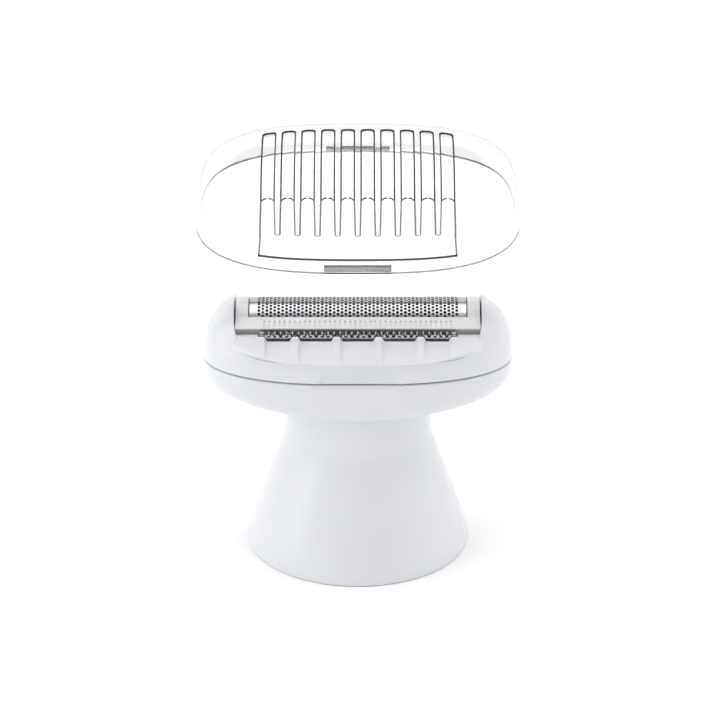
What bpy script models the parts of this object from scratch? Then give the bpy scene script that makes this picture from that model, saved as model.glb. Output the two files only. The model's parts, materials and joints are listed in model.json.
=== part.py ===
"""Shaver head of an epilator, with its clear trimming comb lifted off.

The head is a round skirt that slips over the epilator's handle, a waisted neck and a wide bowl.
Inside, a coupling turns a pinion and an eccentric gear, which swings a bridge from side to side.
The bridge carries the cutter block under the foil and the moving blade of the trimmer.

Units are metres, +Z is up, and the trimmer side faces -Y.
"""
import math

import bmesh
import bpy
from mathutils import Matrix, Vector

MM = 0.001

# ---- overall head ----
HEAD_HALF_WIDTH = 29.0 * MM
HEAD_HALF_DEPTH = 15.7 * MM
PLAN_POWER = 2.4
PARTING_Z = 38.5 * MM
DOME_HEIGHT = 13.2 * MM
DOME_POWER_WIDE = 3.0
DOME_POWER_DEEP = 2.0
WALL = 1.5 * MM
GAP = 0.3 * MM

# ---- skirt and neck ----
BASE_RADIUS = 21.4 * MM
NECK_RADIUS = 14.05 * MM
NECK_Z = 23.5 * MM
BOWL_DEPTH = 7.5 * MM
BOWL_POWER = 2.9
WEB_Z = 22.5 * MM
WEB_THICK = 1.5 * MM

# ---- recess that holds the foil unit and the ramps ----
RECESS_HALF_WIDTH = 23.2 * MM
RECESS_EDGE = 0.6 * MM
NOTCH_HALF_WIDTH = 7.0 * MM
NOTCH_HEIGHT = 2.0 * MM
NOTCH_DEPTH = 0.3 * MM

# ---- handle coupling ----
COLLAR_RADIUS = 12.1 * MM
COLLAR_WALL = 1.4 * MM
COLLAR_BOTTOM_Z = 8.0 * MM
LATCH_HALF_WIDTH = 2.5 * MM
LATCH_HEIGHT = 3.0 * MM
LATCH_Z = 12.5 * MM
SHAFT_RADIUS = 1.5 * MM
RUN_CLEARANCE = 0.2 * MM
BUSH_WALL = 1.2 * MM
COUPLING_RADIUS = 4.2 * MM
COUPLING_BOTTOM_Z = 9.5 * MM
COUPLING_HEIGHT = 6.0 * MM
SOCKET_HALF = 1.6 * MM

# ---- gears ----
GEAR_MODULE = 0.6 * MM
PINION_TEETH = 9
GEAR_TEETH = 18
GEAR_HEIGHT = 1.8 * MM
BACKLASH = 0.15 * MM
AXLE_RADIUS = 1.0 * MM
PIN_RADIUS = 0.9 * MM
ECCENTRICITY = 1.0 * MM
STROKE = 1.0 * MM

# ---- chassis ----
CHASSIS_Z = 32.8 * MM
CHASSIS_THICK = 1.2 * MM
CHASSIS_HALF_WIDTH = 19.3 * MM
CHASSIS_HALF_DEPTH = 12.4 * MM
SCREW_X = 8.6 * MM
SCREW_Y = 8.2 * MM
SCREW_RADIUS = 0.85 * MM
SCREW_HEAD_RADIUS = 1.6 * MM
SCREW_HEAD_HEIGHT = 1.0 * MM
SCREW_LENGTH = 4.0 * MM
BOSS_RADIUS = 1.9 * MM
COLLAR_SCREW_X = 6.9 * MM
SPRING_X = 21.2 * MM
SPRING_RADIUS = 1.5 * MM
SPRING_WIRE = 0.25 * MM
SPRING_TURNS = 5

# ---- swinging bridge ----
BRIDGE_HALF_WIDTH = 18.0 * MM
BRIDGE_HALF_DEPTH = 5.8 * MM
BRIDGE_THICK = 1.2 * MM
POST_HALF = 1.5 * MM
FINGER_HALF_WIDTH = 1.0 * MM
FINGER_THICK = 0.6 * MM

# ---- foil unit ----
FOIL_RADIUS = 5.0 * MM
FOIL_CENTRE_Z = PARTING_Z + 5.84 * MM
FOIL_THICK = 0.15 * MM
FOIL_HALF_LENGTH = 20.1 * MM
FRAME_HALF_WIDTH = 22.6 * MM
FRAME_HALF_DEPTH = 6.8 * MM
FRAME_WALL = 0.8 * MM
FRAME_BOTTOM_Z = PARTING_Z + 2.5 * MM
FRAME_END_WALL = 2.3 * MM
LIP_HALF_DEPTH = 7.6 * MM
LIP_Z = PARTING_Z + 7.9 * MM
LIP_EDGE = 0.3 * MM
DECK_Z = PARTING_Z + 8.95 * MM
FLOAT = 1.2 * MM
FORMER_THICK = 0.8 * MM
CUTTER_RADIUS = 4.7 * MM
CUTTER_HALF_LENGTH = 17.7 * MM
LAMELLA_PITCH = 1.8 * MM
LAMELLA_THICK = 0.5 * MM
CARRIER_HEIGHT = 2.0 * MM

# ---- trimmer ----
TRIMMER_HALF_LENGTH = 18.0 * MM
TRIMMER_NOSE_Y = -8.6 * MM
TRIMMER_Z = PARTING_Z + 6.3 * MM
TRIMMER_HEIGHT = 1.3 * MM
TRIMMER_LEAF = 0.25 * MM
TOOTH_PITCH = 1.6 * MM
TOOTH_GAP = 0.8 * MM
BLADE_THICK = 0.35 * MM

# ---- ramps ----
RAMP_LOW_Z = PARTING_Z + 3.1 * MM
RAMP_TOP_Z = PARTING_Z + 5.9 * MM
RAMP_WALL = 1.2 * MM
RIB_X = (3.85 * MM, 11.5 * MM, 17.7 * MM)
RIB_WIDTH = 1.3 * MM
RIB_HEIGHT = 0.7 * MM

# ---- clear comb cap ----
CAP_CLEARANCE = 0.2 * MM
CAP_DEEP_CLEARANCE = 0.9 * MM
CAP_WALL = 0.7 * MM
CAP_HEADROOM = 0.9 * MM
CAP_PLAN_POWER = 2.8
CAP_GAP = 0.3 * MM
TINE_COUNT = 9
TINE_PITCH = 3.67 * MM
TINE_WIDTH = 0.95 * MM
TINE_DEPTH = 0.5 * MM
TINE_REAR_ANGLE = math.radians(67)
ARCH_ANGLE = math.radians(129)
TIP_ANGLE = math.radians(155)
ARCH_Y = -10.0 * MM
WINDOW_HALF_WIDTH = 17.8 * MM
STRIP_HEIGHT = 2.8 * MM
SNAP_HALF_WIDTH = 6.0 * MM
SNAP_DEPTH = 0.35 * MM
LIFT_ANGLE = math.radians(21.0)
LIFT_AXIS_Y = -76.0 * MM
LIFT_AXIS_Z = PARTING_Z + 14.5 * MM

# ---- worked out from the values above ----
WEB_TOP = WEB_Z + WEB_THICK
UPPER_Z = PARTING_Z + GAP
BUSH_RADIUS = SHAFT_RADIUS + RUN_CLEARANCE + BUSH_WALL
BRIDGE_Z = CHASSIS_Z + CHASSIS_THICK + GAP + GEAR_HEIGHT + 4 * GAP
BRIDGE_TOP = BRIDGE_Z + BRIDGE_THICK
GEAR_Z = CHASSIS_Z + CHASSIS_THICK + GAP
PINION_PITCH_RADIUS = GEAR_MODULE * PINION_TEETH / 2
GEAR_PITCH_RADIUS = GEAR_MODULE * GEAR_TEETH / 2
GEAR_X = PINION_PITCH_RADIUS + GEAR_PITCH_RADIUS + BACKLASH
SPAN_INSIDE = FRAME_HALF_WIDTH - FRAME_END_WALL
BLADES_Z = FOIL_CENTRE_Z - 0.75 * MM
CARRIER_Z = BLADES_Z - GAP - CARRIER_HEIGHT
BLADE_Z = TRIMMER_Z + (TRIMMER_HEIGHT - BLADE_THICK) / 2
FINGER_TOP = BLADE_Z + BLADE_THICK / 2
RAMP_BACK_Y = TRIMMER_NOSE_Y - GAP
CAP_Z = PARTING_Z + CAP_GAP
CAP_HALF_WIDTH = HEAD_HALF_WIDTH + CAP_CLEARANCE + CAP_WALL
CAP_HALF_DEPTH = HEAD_HALF_DEPTH + CAP_DEEP_CLEARANCE + CAP_WALL
CAP_HEIGHT = DOME_HEIGHT + CAP_HEADROOM + CAP_WALL
RING_POINTS = 40


# ---------------------------------------------------------------- scene and materials

def clear_scene():
    for obj in list(bpy.data.objects):
        bpy.data.objects.remove(obj, do_unlink=True)


def make_collection(name):
    collection = bpy.data.collections.new(name)
    bpy.context.scene.collection.children.link(collection)
    return collection


def make_material(name, colour, roughness, metallic=0.0, transmission=0.0):
    material = bpy.data.materials.new(name)
    material.use_nodes = True
    shader = material.node_tree.nodes["Principled BSDF"]
    shader.inputs["Base Color"].default_value = (*colour, 1.0)
    shader.inputs["Roughness"].default_value = roughness
    shader.inputs["Metallic"].default_value = metallic
    shader.inputs["Transmission Weight"].default_value = transmission
    return material


WHITE = dict(colour=(0.86, 0.87, 0.89), roughness=0.3)
GREY = dict(colour=(0.45, 0.46, 0.48), roughness=0.45)
NATURAL = dict(colour=(0.78, 0.77, 0.72), roughness=0.4)
DARK = dict(colour=(0.06, 0.06, 0.065), roughness=0.6)
STEEL = dict(colour=(0.62, 0.62, 0.64), roughness=0.25, metallic=1.0)
BRASS = dict(colour=(0.72, 0.55, 0.28), roughness=0.3, metallic=1.0)
CLEAR = dict(colour=(0.95, 0.96, 0.97), roughness=0.05, transmission=1.0)


def add_part(name, mesh, finish):
    """Put a mesh in the parts collection with a material of its own."""
    obj = bpy.data.objects.new(name, mesh)
    PARTS.objects.link(obj)
    mesh.materials.append(make_material(name + "_finish", **finish))
    mesh.polygons.foreach_set("use_smooth", [True] * len(mesh.polygons))
    mesh.set_sharp_from_angle(angle=math.radians(35))
    return obj


def add_cutter(name, mesh):
    obj = bpy.data.objects.new(name, mesh)
    CUTTERS.objects.link(obj)
    obj.hide_render = True
    obj.display_type = "WIRE"
    return obj


def boolean(target, mesh, operation="DIFFERENCE"):
    """Cut a mesh from a part, or join it on, with a helper object in the cutters collection."""
    count = len(target.modifiers) + 1
    tool = add_cutter(f"{target.name}_tool_{count}", mesh)
    tool.parent = target.parent
    tool.location = target.location
    modifier = target.modifiers.new(operation.title() + str(count), "BOOLEAN")
    modifier.operation = operation
    modifier.solver = "EXACT"
    modifier.object = tool


def cut(target, mesh):
    boolean(target, mesh, "DIFFERENCE")


def join(target, mesh):
    boolean(target, mesh, "UNION")


def keep_inside(target, mesh):
    boolean(target, mesh, "INTERSECT")


# ---------------------------------------------------------------- basic shapes, as meshes

def to_mesh(bm, name="shape"):
    bmesh.ops.recalc_face_normals(bm, faces=bm.faces)
    mesh = bpy.data.meshes.new(name)
    bm.to_mesh(mesh)
    bm.free()
    return mesh


def merged(meshes):
    """One mesh that holds several shapes which don't touch."""
    bm = bmesh.new()
    for mesh in meshes:
        bm.from_mesh(mesh)
    return to_mesh(bm)


def box(x0, x1, y0, y1, z0, z1):
    bm = bmesh.new()
    bmesh.ops.create_cube(bm, size=1.0)
    size = Matrix.Diagonal((x1 - x0, y1 - y0, z1 - z0, 1.0))
    centre = Matrix.Translation(((x0 + x1) / 2, (y0 + y1) / 2, (z0 + z1) / 2))
    bm.transform(centre @ size)
    return to_mesh(bm)


def cylinder(radius, z0, z1, x=0.0, y=0.0, segments=24):
    bm = bmesh.new()
    bmesh.ops.create_cone(bm, cap_ends=True, segments=segments, radius1=radius, radius2=radius,
                          depth=z1 - z0)
    bm.transform(Matrix.Translation((x, y, (z0 + z1) / 2)))
    return to_mesh(bm)


def cylinder_along_x(radius, x0, x1, y, z, segments=48):
    bm = bmesh.new()
    bmesh.ops.create_cone(bm, cap_ends=True, segments=segments, radius1=radius, radius2=radius,
                          depth=x1 - x0)
    turn = Matrix.Rotation(math.pi / 2, 4, "Y")
    bm.transform(Matrix.Translation(((x0 + x1) / 2, y, z)) @ turn)
    return to_mesh(bm)


def prism(outline, low, high, axis="Z"):
    """Extrude an outline: (x, y) points along Z, or (y, z) points along X."""
    bm = bmesh.new()
    if axis == "Z":
        points = [Vector((u, v, low)) for u, v in outline]
        step = Vector((0, 0, high - low))
    else:
        points = [Vector((low, u, v)) for u, v in outline]
        step = Vector((high - low, 0, 0))
    face = bm.faces.new([bm.verts.new(p) for p in points])
    grown = bmesh.ops.extrude_face_region(bm, geom=[face])
    moved = [g for g in grown["geom"] if isinstance(g, bmesh.types.BMVert)]
    bmesh.ops.translate(bm, verts=moved, vec=step)
    return to_mesh(bm)


def ring(half_width, half_depth, power, z):
    """A superellipse, level at height z. Power 2 is an ellipse."""
    points = []
    for i in range(RING_POINTS):
        angle = 2 * math.pi * i / RING_POINTS
        c, s = math.cos(angle), math.sin(angle)
        x = half_width * math.copysign(abs(c) ** (2 / power), c)
        y = half_depth * math.copysign(abs(s) ** (2 / power), s)
        points.append(Vector((x, y, z)))
    return points


def loft(rings):
    """A closed solid through rings of equal point counts, from the lowest to the highest."""
    bm = bmesh.new()
    levels = [[bm.verts.new(p) for p in points] for points in rings]
    for low, high in zip(levels, levels[1:]):
        for i in range(len(low)):
            j = (i + 1) % len(low)
            bm.faces.new((low[i], low[j], high[j], high[i]))
    bm.faces.new(levels[0])
    bm.faces.new(levels[-1])
    return to_mesh(bm)


def turned(profile, steps=48):
    """A profile of (radius, z) points turned about Z, as a mesh made by a Screw modifier."""
    bm = bmesh.new()
    points = [bm.verts.new((r, 0, z)) for r, z in profile]
    for a, b in zip(points, points[1:]):
        bm.edges.new((a, b))
    bm.edges.new((points[-1], points[0]))
    outline = bpy.data.meshes.new("profile")
    bm.to_mesh(outline)
    bm.free()
    obj = bpy.data.objects.new("profile", outline)
    bpy.context.scene.collection.objects.link(obj)
    screw = obj.modifiers.new("Screw", "SCREW")
    screw.steps = screw.render_steps = steps
    screw.use_merge_vertices = True
    screw.merge_threshold = 0.00001
    return evaluated_mesh(obj)


def evaluated_mesh(obj):
    """The mesh that an object's modifiers or curve make, with clean normals and no doubles."""
    bpy.context.view_layer.update()
    evaluated = obj.evaluated_get(bpy.context.evaluated_depsgraph_get())
    mesh = bpy.data.meshes.new_from_object(evaluated)
    bpy.data.objects.remove(obj, do_unlink=True)
    bm = bmesh.new()
    bm.from_mesh(mesh)
    bmesh.ops.remove_doubles(bm, verts=bm.verts, dist=0.000005)
    return to_mesh(bm)


def coil(radius, wire, z0, z1, turns, x, y):
    """A compression spring: a closed wire helix between two heights."""
    curve = bpy.data.curves.new("coil", "CURVE")
    curve.dimensions = "3D"
    curve.bevel_depth = wire
    curve.bevel_resolution = 1
    curve.use_fill_caps = True
    steps = 8 * turns
    spline = curve.splines.new("POLY")
    spline.points.add(steps)
    rise = z1 - z0 - 2 * wire
    for i, point in enumerate(spline.points):
        angle = 2 * math.pi * turns * i / steps
        point.co = (x + radius * math.cos(angle), y + radius * math.sin(angle),
                    z0 + wire + rise * i / steps, 1.0)
    obj = bpy.data.objects.new("coil", curve)
    bpy.context.scene.collection.objects.link(obj)
    return evaluated_mesh(obj)


def gear_outline(teeth, turn=0.0):
    """Trapezoid teeth about the origin, as (x, y) points."""
    pitch_radius = GEAR_MODULE * teeth / 2
    tip, root = pitch_radius + 0.9 * GEAR_MODULE, pitch_radius - 1.15 * GEAR_MODULE
    step = 2 * math.pi / teeth
    points = []
    for i in range(teeth):
        middle = turn + i * step
        for radius, share in ((root, -0.34), (tip, -0.12), (tip, 0.12), (root, 0.34)):
            angle = middle + share * step
            points.append((radius * math.cos(angle), radius * math.sin(angle)))
    return points


# ---------------------------------------------------------------- sections of the head

def bowl_size(drop, bowl_depth):
    """Half width, half depth and power of the bowl, at a distance below the parting plane."""
    share = max(0.0, 1 - (drop / bowl_depth) ** BOWL_POWER) ** (1 / BOWL_POWER)
    width = NECK_RADIUS + (HEAD_HALF_WIDTH - NECK_RADIUS) * share
    depth = NECK_RADIUS + (HEAD_HALF_DEPTH - NECK_RADIUS) * share
    return width, depth, 2 + (PLAN_POWER - 2) * share


def skirt_radius(z):
    """The skirt flares from the neck to the base, steepest in the middle of its height."""
    t = max(0.0, 1 - z / NECK_Z)
    return NECK_RADIUS + (BASE_RADIUS - NECK_RADIUS) * (1.5 * t ** 1.3 - 0.5 * t ** 2.6)


def bowl_rings(wall, top_z, levels):
    """Rings up the bowl, a wall's thickness inside its outer face."""
    rings = []
    for i in range(levels + 1):
        drop = (BOWL_DEPTH - wall) * math.cos(math.pi / 2 * i / levels) ** (2 / BOWL_POWER)
        width, depth, power = bowl_size(drop, BOWL_DEPTH - wall)
        z = PARTING_Z - drop if i < levels else top_z
        rings.append(ring(width - wall, depth - wall, power, z))
    return rings


def dome_rings(half_width, half_depth, height, base_z, levels, power=PLAN_POWER, top_share=0.995):
    """Rings up a dome that is boxy across X and rounder across Y."""
    rings = []
    for i in range(levels + 1):
        share = top_share * math.sin(math.pi / 2 * i / levels)
        width = half_width * (1 - share ** DOME_POWER_WIDE) ** (1 / DOME_POWER_WIDE)
        depth = half_depth * (1 - share ** DOME_POWER_DEEP) ** (1 / DOME_POWER_DEEP)
        rings.append(ring(width, depth, power, base_z + height * share))
    return rings


def recess_outline(inset):
    """Plan of the recess: the head's outline, drawn in and cut off square at both ends."""
    half_width = HEAD_HALF_WIDTH - RECESS_EDGE - inset
    half_depth = HEAD_HALF_DEPTH - RECESS_EDGE - inset
    limit = RECESS_HALF_WIDTH - inset
    front = []
    for i in range(25):
        x = -limit + 2 * limit * i / 24
        y = half_depth * (1 - (abs(x) / half_width) ** PLAN_POWER) ** (1 / PLAN_POWER)
        front.append((x, -y))
    return front + [(x, -y) for x, y in reversed(front)]


def screw_places():
    return [(sx * SCREW_X, sy * SCREW_Y) for sx in (-1, 1) for sy in (-1, 1)]


# ---------------------------------------------------------------- housing

def build_lower_shell():
    skirt = [ring(skirt_radius(z), skirt_radius(z), 2, z) for z in
             (NECK_Z * i / 8 for i in range(9))]
    shell = add_part("lower_shell", loft(skirt + bowl_rings(0, PARTING_Z, 9)), WHITE)

    inner = [ring(skirt_radius(z) - WALL, skirt_radius(z) - WALL, 2, z) for z in
             (WEB_Z * i / 5 for i in range(6))]
    inner.insert(0, [p - Vector((0, 0, 1 * MM)) for p in inner[0]])
    cut(shell, loft(inner))
    floor = ring(NECK_RADIUS - WALL, NECK_RADIUS - WALL, 2, WEB_TOP)
    cut(shell, loft([floor] + bowl_rings(WALL, PARTING_Z + 1 * MM, 6)))
    for x, y in screw_places():
        join(shell, cylinder(BOSS_RADIUS, WEB_Z + WEB_THICK / 2, CHASSIS_Z - GAP, x, y, 16))
    pilots = [cylinder(SCREW_RADIUS + 0.1 * MM, WEB_TOP, CHASSIS_Z, x, y, 12)
              for x, y in screw_places()]
    cut(shell, merged(pilots))
    holes = [cylinder(SCREW_RADIUS + 0.1 * MM, WEB_Z - 1 * MM, WEB_TOP + 1 * MM, x, 0, 12)
             for x in (-COLLAR_SCREW_X, COLLAR_SCREW_X)]
    cut(shell, merged(holes + [cylinder(BUSH_RADIUS + 0.1 * MM, WEB_Z - 1 * MM, WEB_TOP + 1 * MM)]))


def build_upper_shell():
    rings = dome_rings(HEAD_HALF_WIDTH, HEAD_HALF_DEPTH, DOME_HEIGHT, UPPER_Z, 9)
    shell = add_part("upper_shell", loft(rings), WHITE)
    inner = dome_rings(HEAD_HALF_WIDTH - WALL, HEAD_HALF_DEPTH - WALL, DOME_HEIGHT - WALL, UPPER_Z, 6)
    inner.insert(0, [p - Vector((0, 0, 1 * MM)) for p in inner[0]])
    cavity = add_cutter("horn_cavity", loft(inner))
    reach = RECESS_HALF_WIDTH + WALL
    core = add_cutter("horn_core", box(-reach, reach, -30 * MM, 30 * MM, 0, 80 * MM))
    trim = cavity.modifiers.new("Trim", "BOOLEAN")
    trim.operation, trim.solver, trim.object = "DIFFERENCE", "EXACT", core
    hollow = shell.modifiers.new("Hollow", "BOOLEAN")
    hollow.operation, hollow.solver, hollow.object = "DIFFERENCE", "EXACT", cavity
    cut(shell, prism(recess_outline(0), PARTING_Z - 1 * MM, PARTING_Z + 20 * MM))
    notches = []
    for side in (-1, 1):
        near = side * (HEAD_HALF_DEPTH - NOTCH_DEPTH)
        far = side * (HEAD_HALF_DEPTH + 1 * MM)
        notches.append(box(-NOTCH_HALF_WIDTH, NOTCH_HALF_WIDTH, min(near, far), max(near, far),
                           PARTING_Z - 1 * MM, PARTING_Z + NOTCH_HEIGHT))
    cut(shell, merged(notches))


def ramp_profile(top_y, side):
    """Section of a ramp: a channel, open below, whose top slopes up to the foil unit."""
    edge = HEAD_HALF_DEPTH - RECESS_EDGE - GAP
    slope = (RAMP_TOP_Z - RAMP_LOW_Z) / (edge - abs(top_y))
    inner_low = RAMP_LOW_Z - RAMP_WALL + slope * RAMP_WALL
    inner_top = RAMP_TOP_Z - RAMP_WALL - slope * RAMP_WALL
    foot = UPPER_Z
    top = abs(top_y)
    points = [(edge, foot), (edge, RAMP_LOW_Z), (top, RAMP_TOP_Z), (top, foot),
              (top + RAMP_WALL, foot), (top + RAMP_WALL, inner_top),
              (edge - RAMP_WALL, inner_low), (edge - RAMP_WALL, foot)]
    return [(side * y, z) for y, z in points]


def build_front_ramp():
    width = RECESS_HALF_WIDTH + 1 * MM
    ramp = add_part("front_guide_ramp", prism(ramp_profile(RAMP_BACK_Y, -1), -width, width, "X"), WHITE)
    edge = -(HEAD_HALF_DEPTH - RECESS_EDGE - GAP)
    low_y = edge + 1.6 * MM
    slope = (RAMP_TOP_Z - RAMP_LOW_Z) / (RAMP_BACK_Y - edge)
    low_z = RAMP_LOW_Z + slope * (low_y - edge)
    section = [(low_y, low_z - RAMP_WALL / 2), (low_y, low_z), (RAMP_BACK_Y, RAMP_TOP_Z + RIB_HEIGHT),
               (RAMP_BACK_Y, RAMP_TOP_Z - RAMP_WALL / 2)]
    ribs = [prism(section, side * x - RIB_WIDTH / 2, side * x + RIB_WIDTH / 2, "X")
            for side in (-1, 1) for x in RIB_X]
    join(ramp, merged(ribs))
    keep_inside(ramp, prism(recess_outline(GAP), PARTING_Z - 1 * MM, PARTING_Z + 20 * MM))


def build_rear_ramp():
    width = RECESS_HALF_WIDTH + 1 * MM
    back = LIP_HALF_DEPTH + GAP
    ramp = add_part("rear_ramp", prism(ramp_profile(back, 1), -width, width, "X"), WHITE)
    keep_inside(ramp, prism(recess_outline(GAP), PARTING_Z - 1 * MM, PARTING_Z + 20 * MM))


def build_chassis():
    top = CHASSIS_Z + CHASSIS_THICK
    plate = [ring(CHASSIS_HALF_WIDTH, CHASSIS_HALF_DEPTH, PLAN_POWER, z) for z in (CHASSIS_Z, top)]
    chassis = add_part("chassis", loft(plate), GREY)
    post_x0, post_x1 = BRIDGE_HALF_WIDTH - 3.5 * MM, BRIDGE_HALF_WIDTH - 1.0 * MM
    post_y = BRIDGE_HALF_DEPTH + GAP
    post_z = CHASSIS_Z + CHASSIS_THICK / 2
    for sx in (-1, 1):
        xs = sorted((sx * post_x0, sx * post_x1))
        for sy in (-1, 1):
            ys = sorted((sy * post_y, sy * (post_y + 1.2 * MM)))
            join(chassis, box(*xs, *ys, post_z, BRIDGE_TOP))
            ys = sorted((sy * (post_y - 1.3 * MM), sy * (post_y + 0.6 * MM)))
            join(chassis, box(*xs, *ys, post_z, BRIDGE_Z - GAP))
        riser_x = CHASSIS_HALF_WIDTH - 2.6 * MM
        arm_z = top + 1.5 * MM
        outline = [(riser_x, CHASSIS_Z + 0.2 * MM), (riser_x, arm_z), (SPRING_X + 1.9 * MM, arm_z),
                   (SPRING_X + 1.9 * MM, arm_z - 1.2 * MM), (riser_x + 1.5 * MM, arm_z - 1.2 * MM),
                   (riser_x + 1.5 * MM, CHASSIS_Z + 0.2 * MM)]
        arm = prism([(x * sx, z) for x, z in outline], -2.2 * MM, 2.2 * MM)
        arm.transform(Matrix(((1, 0, 0, 0), (0, 0, 1, 0), (0, 1, 0, 0), (0, 0, 0, 1))))
        arm.flip_normals()
        join(chassis, arm)
        peg_top = arm_z + 2.0 * MM
        join(chassis, cylinder(SPRING_RADIUS - SPRING_WIRE - 0.25 * MM, arm_z - 0.5 * MM, peg_top,
                               sx * SPRING_X, 0, 12))
    holes = [cylinder(SCREW_RADIUS + 0.25 * MM, CHASSIS_Z - 1 * MM, top + 1 * MM, x, y, 12)
             for x, y in screw_places()]
    holes.append(cylinder(SHAFT_RADIUS + 2 * RUN_CLEARANCE, CHASSIS_Z - 1 * MM, top + 1 * MM))
    holes.append(cylinder(AXLE_RADIUS + 0.1 * MM, CHASSIS_Z - 1 * MM, top + 1 * MM, GEAR_X, 0, 16))
    cut(chassis, merged(holes))


def screw_mesh(x, y, seat_z, up):
    """A pan-head screw whose head rests at seat_z and whose thread points down, or up."""
    way = -1 if up else 1
    profile = [(0, SCREW_HEAD_HEIGHT), (SCREW_HEAD_RADIUS * 0.7, SCREW_HEAD_HEIGHT),
               (SCREW_HEAD_RADIUS, SCREW_HEAD_HEIGHT * 0.6), (SCREW_HEAD_RADIUS, 0),
               (SCREW_RADIUS, 0), (SCREW_RADIUS, -SCREW_LENGTH), (0, -SCREW_LENGTH)]
    mesh = turned([(r, way * z) for r, z in profile], 12)
    mesh.transform(Matrix.Translation((x, y, seat_z)))
    return mesh


def build_screws():
    seat = CHASSIS_Z + CHASSIS_THICK + 0.1 * MM
    for i, (x, y) in enumerate(screw_places(), 1):
        screw = add_part(f"chassis_screw_{i}", screw_mesh(x, y, seat, False), STEEL)
        reach = SCREW_HEAD_RADIUS * 0.7
        slot_z = seat + SCREW_HEAD_HEIGHT
        cut(screw, box(x - reach, x + reach, y - 0.2 * MM, y + 0.2 * MM, slot_z - 0.4 * MM, slot_z + MM))
    seat = WEB_Z - GAP - COLLAR_WALL - 0.1 * MM
    for i, x in enumerate((-COLLAR_SCREW_X, COLLAR_SCREW_X), 1):
        screw = add_part(f"collar_screw_{i}", screw_mesh(x, 0, seat, True), STEEL)
        reach = SCREW_HEAD_RADIUS * 0.7
        slot_z = seat - SCREW_HEAD_HEIGHT
        cut(screw, box(x - reach, x + reach, -0.2 * MM, 0.2 * MM, slot_z - MM, slot_z + 0.4 * MM))


def build_collar():
    """The cup under the web that locates on the handle's nose, with two latch windows."""
    top = WEB_Z - GAP
    bore = COLLAR_RADIUS - COLLAR_WALL
    hub = BUSH_RADIUS + 0.1 * MM
    profile = [(hub, top), (COLLAR_RADIUS, top), (COLLAR_RADIUS, COLLAR_BOTTOM_Z),
               (bore, COLLAR_BOTTOM_Z), (bore, top - COLLAR_WALL), (hub, top - COLLAR_WALL)]
    collar = add_part("handle_collar", turned(profile, 40), NATURAL)
    windows = box(-20 * MM, 20 * MM, -LATCH_HALF_WIDTH, LATCH_HALF_WIDTH, LATCH_Z, LATCH_Z + LATCH_HEIGHT)
    cut(collar, windows)
    holes = [cylinder(SCREW_RADIUS + 0.25 * MM, top - 2 * COLLAR_WALL, top + 1 * MM, x, 0, 12)
             for x in (-COLLAR_SCREW_X, COLLAR_SCREW_X)]
    cut(collar, merged(holes))


def build_bush_and_seal():
    """A flanged bush in the web, and the rubber seal ring that lies on it."""
    inner = SHAFT_RADIUS + RUN_CLEARANCE
    bottom = WEB_Z - GAP - COLLAR_WALL
    flange_top = WEB_TOP + GAP + 0.8 * MM
    profile = [(inner, flange_top), (BUSH_RADIUS + 1 * MM, flange_top),
               (BUSH_RADIUS + 1 * MM, WEB_TOP + GAP), (BUSH_RADIUS, WEB_TOP + GAP),
               (BUSH_RADIUS, bottom), (inner, bottom)]
    add_part("shaft_bush", turned(profile, 24), BRASS)
    seal_z = flange_top + 0.1 * MM
    profile = [(inner, seal_z + 1.2 * MM), (inner + 0.9 * MM, seal_z + 1.2 * MM),
               (BUSH_RADIUS + 0.6 * MM, seal_z + 0.5 * MM), (BUSH_RADIUS + 0.6 * MM, seal_z),
               (inner, seal_z)]
    add_part("shaft_seal", turned(profile, 24), DARK)


def build_gear_axle():
    bottom = CHASSIS_Z - 0.6 * MM
    top = GEAR_Z + GEAR_HEIGHT + 0.3 * MM
    add_part("gear_axle", cylinder(AXLE_RADIUS, bottom, top, GEAR_X, 0, 16), STEEL)


def build_foil_springs():
    arm_z = CHASSIS_Z + CHASSIS_THICK + 1.5 * MM
    for name, side in (("foil_spring_left", -1), ("foil_spring_right", 1)):
        mesh = coil(SPRING_RADIUS, SPRING_WIRE, arm_z + 0.1 * MM, FRAME_BOTTOM_Z - 0.1 * MM,
                    SPRING_TURNS, side * SPRING_X, 0)
        add_part(name, mesh, STEEL)


# ---------------------------------------------------------------- drive

def build_drive():
    """The shaft turns with the coupling that the handle drives and with the pinion."""
    top = GEAR_Z + GEAR_HEIGHT + 0.4 * MM
    socket_top = COUPLING_BOTTOM_Z + COUPLING_HEIGHT * 0.55
    add_part("drive_shaft", cylinder(SHAFT_RADIUS, socket_top + 0.5 * MM, top, segments=20), STEEL)

    coupling_top = COUPLING_BOTTOM_Z + COUPLING_HEIGHT
    profile = [(0, coupling_top), (COUPLING_RADIUS * 0.75, coupling_top),
               (COUPLING_RADIUS, coupling_top - 1.5 * MM), (COUPLING_RADIUS, COUPLING_BOTTOM_Z),
               (0, COUPLING_BOTTOM_Z)]
    coupling = add_part("input_coupling", turned(profile, 32), NATURAL)
    cut(coupling, cylinder(SHAFT_RADIUS + 0.1 * MM, socket_top + 0.4 * MM, coupling_top + 1 * MM,
                           segments=20))
    low = COUPLING_BOTTOM_Z - 1 * MM
    arm = COUPLING_RADIUS * 0.72
    cross = box(-arm, arm, -SOCKET_HALF / 2, SOCKET_HALF / 2, low, socket_top)
    cut(coupling, cross)
    cut(coupling, box(-SOCKET_HALF / 2, SOCKET_HALF / 2, -arm, arm, low, socket_top))

    pinion = add_part("drive_pinion", prism(gear_outline(PINION_TEETH), GEAR_Z, GEAR_Z + GEAR_HEIGHT),
                      NATURAL)
    cut(pinion, cylinder(SHAFT_RADIUS + 0.1 * MM, GEAR_Z - 1 * MM, top + 1 * MM, segments=20))


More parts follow.
